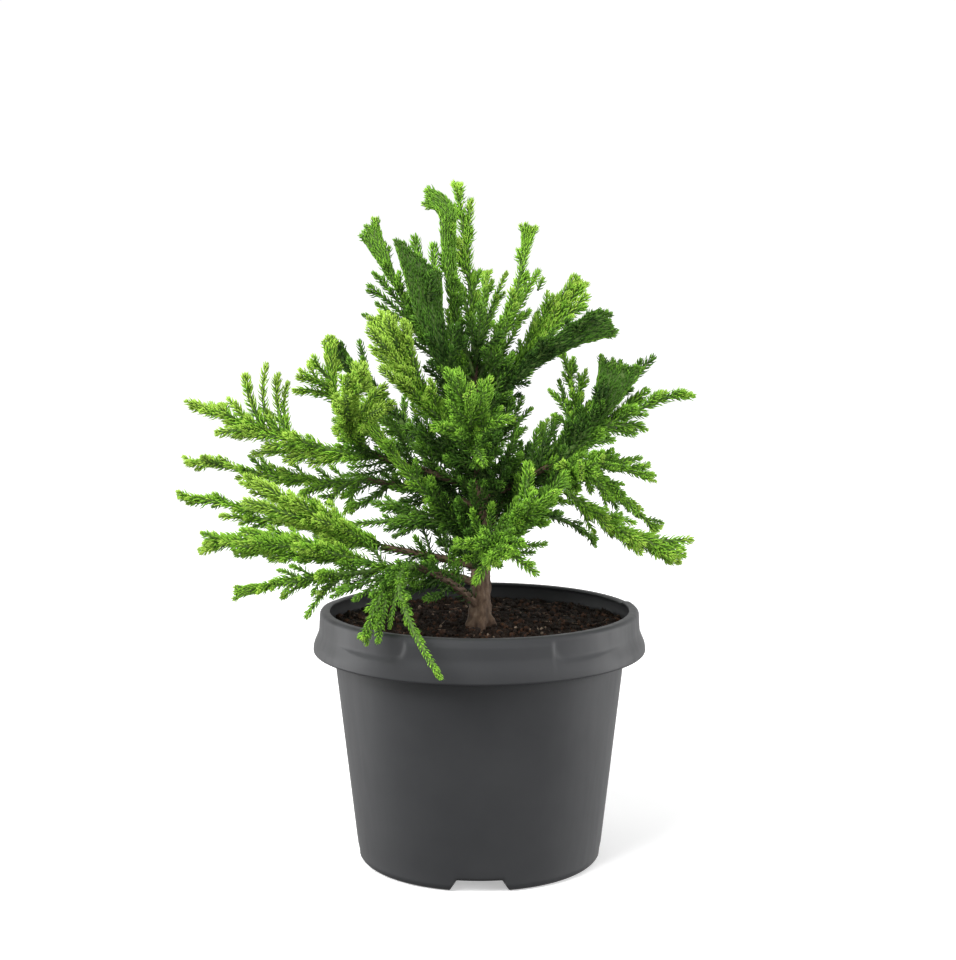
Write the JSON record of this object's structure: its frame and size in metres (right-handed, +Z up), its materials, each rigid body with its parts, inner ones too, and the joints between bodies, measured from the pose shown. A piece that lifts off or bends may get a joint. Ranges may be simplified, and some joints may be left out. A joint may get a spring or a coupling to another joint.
{
  "type": "potted cryptomeria",
  "caption": "Small crested cryptomeria, a conifer with upright fan tips and long level boughs, growing in soil in a round tapered nursery pot with a deep rim band.",
  "frame": {"origin": "centre of the pot's flat underside, on the surface that the plant stands on", "axes": "+Z up along the pot's axis; -Y towards the picture's viewer; +X to the viewer's right"},
  "size_m": [0.2502, 0.207, 0.3399],
  "materials": {
    "pot_plastic": "matte anthracite moulded plastic",
    "potting_soil": "rough dark peat with lighter crumbs",
    "bark": "thin reddish brown bark in long strips",
    "foliage_bright": "bright green needles, slightly waxy",
    "foliage_mid": "mid green needles, slightly waxy",
    "foliage_deep": "deep green needles, matte"
  },
  "bodies": {
    "root": {"pot": "pot_plastic", "soil": "potting_soil", "trunk": "bark", "bough_left_high": "bark", "bough_left_mid": "bark", "bough_left_low": "bark", "bough_left_lower": "bark", "bough_droop": "bark", "bough_dark_left": "bark", "bough_right_high": "bark", "bough_right_mid": "bark", "bough_right_low": "bark", "bough_right_back": "bark", "bough_front": "bark", "bough_front_high": "bark", "bough_back_left": "bark", "bough_back_mid": "bark", "bough_back_right": "bark", "bough_back_low": "bark", "foliage_left_high": "foliage_mid", "foliage_crest_left": "foliage_mid", "foliage_tuft_left": "foliage_bright", "foliage_left_mid": "foliage_mid", "foliage_left_level": "foliage_mid", "foliage_left_low": "foliage_bright", "foliage_left_lower": "foliage_bright", "foliage_left_bottom": "foliage_mid", "foliage_droop_left": "foliage_bright", "foliage_droop_front": "foliage_mid", "foliage_dark_left": "foliage_deep", "foliage_crest_right": "foliage_mid", "foliage_feather_right": "foliage_mid", "foliage_long_right": "foliage_mid", "foliage_right_mid": "foliage_mid", "foliage_right_drop": "foliage_mid", "foliage_right_low": "foliage_mid", "foliage_right_inner": "foliage_bright", "foliage_right_under": "foliage_deep", "foliage_front_low": "foliage_mid", "foliage_front_right": "foliage_mid", "foliage_front_high": "foliage_bright", "foliage_back_left": "foliage_mid", "foliage_back_mid": "foliage_deep", "foliage_back_right": "foliage_mid", "foliage_back_right_low": "foliage_deep", "foliage_back_low": "foliage_mid", "foliage_back_left_low": "foliage_deep", "foliage_left_inner": "foliage_deep", "foliage_crest_upper_left": "foliage_bright", "foliage_crest_top_left": "foliage_bright", "foliage_crest_top_front": "foliage_deep", "foliage_leader": "foliage_bright", "foliage_leader_crest": "foliage_bright", "foliage_top_back": "foliage_mid", "foliage_crest_top_right": "foliage_bright", "foliage_fan_right": "foliage_bright", "foliage_crest_right_dark": "foliage_deep", "foliage_back_high": "foliage_deep"}
  },
  "joints": []
}
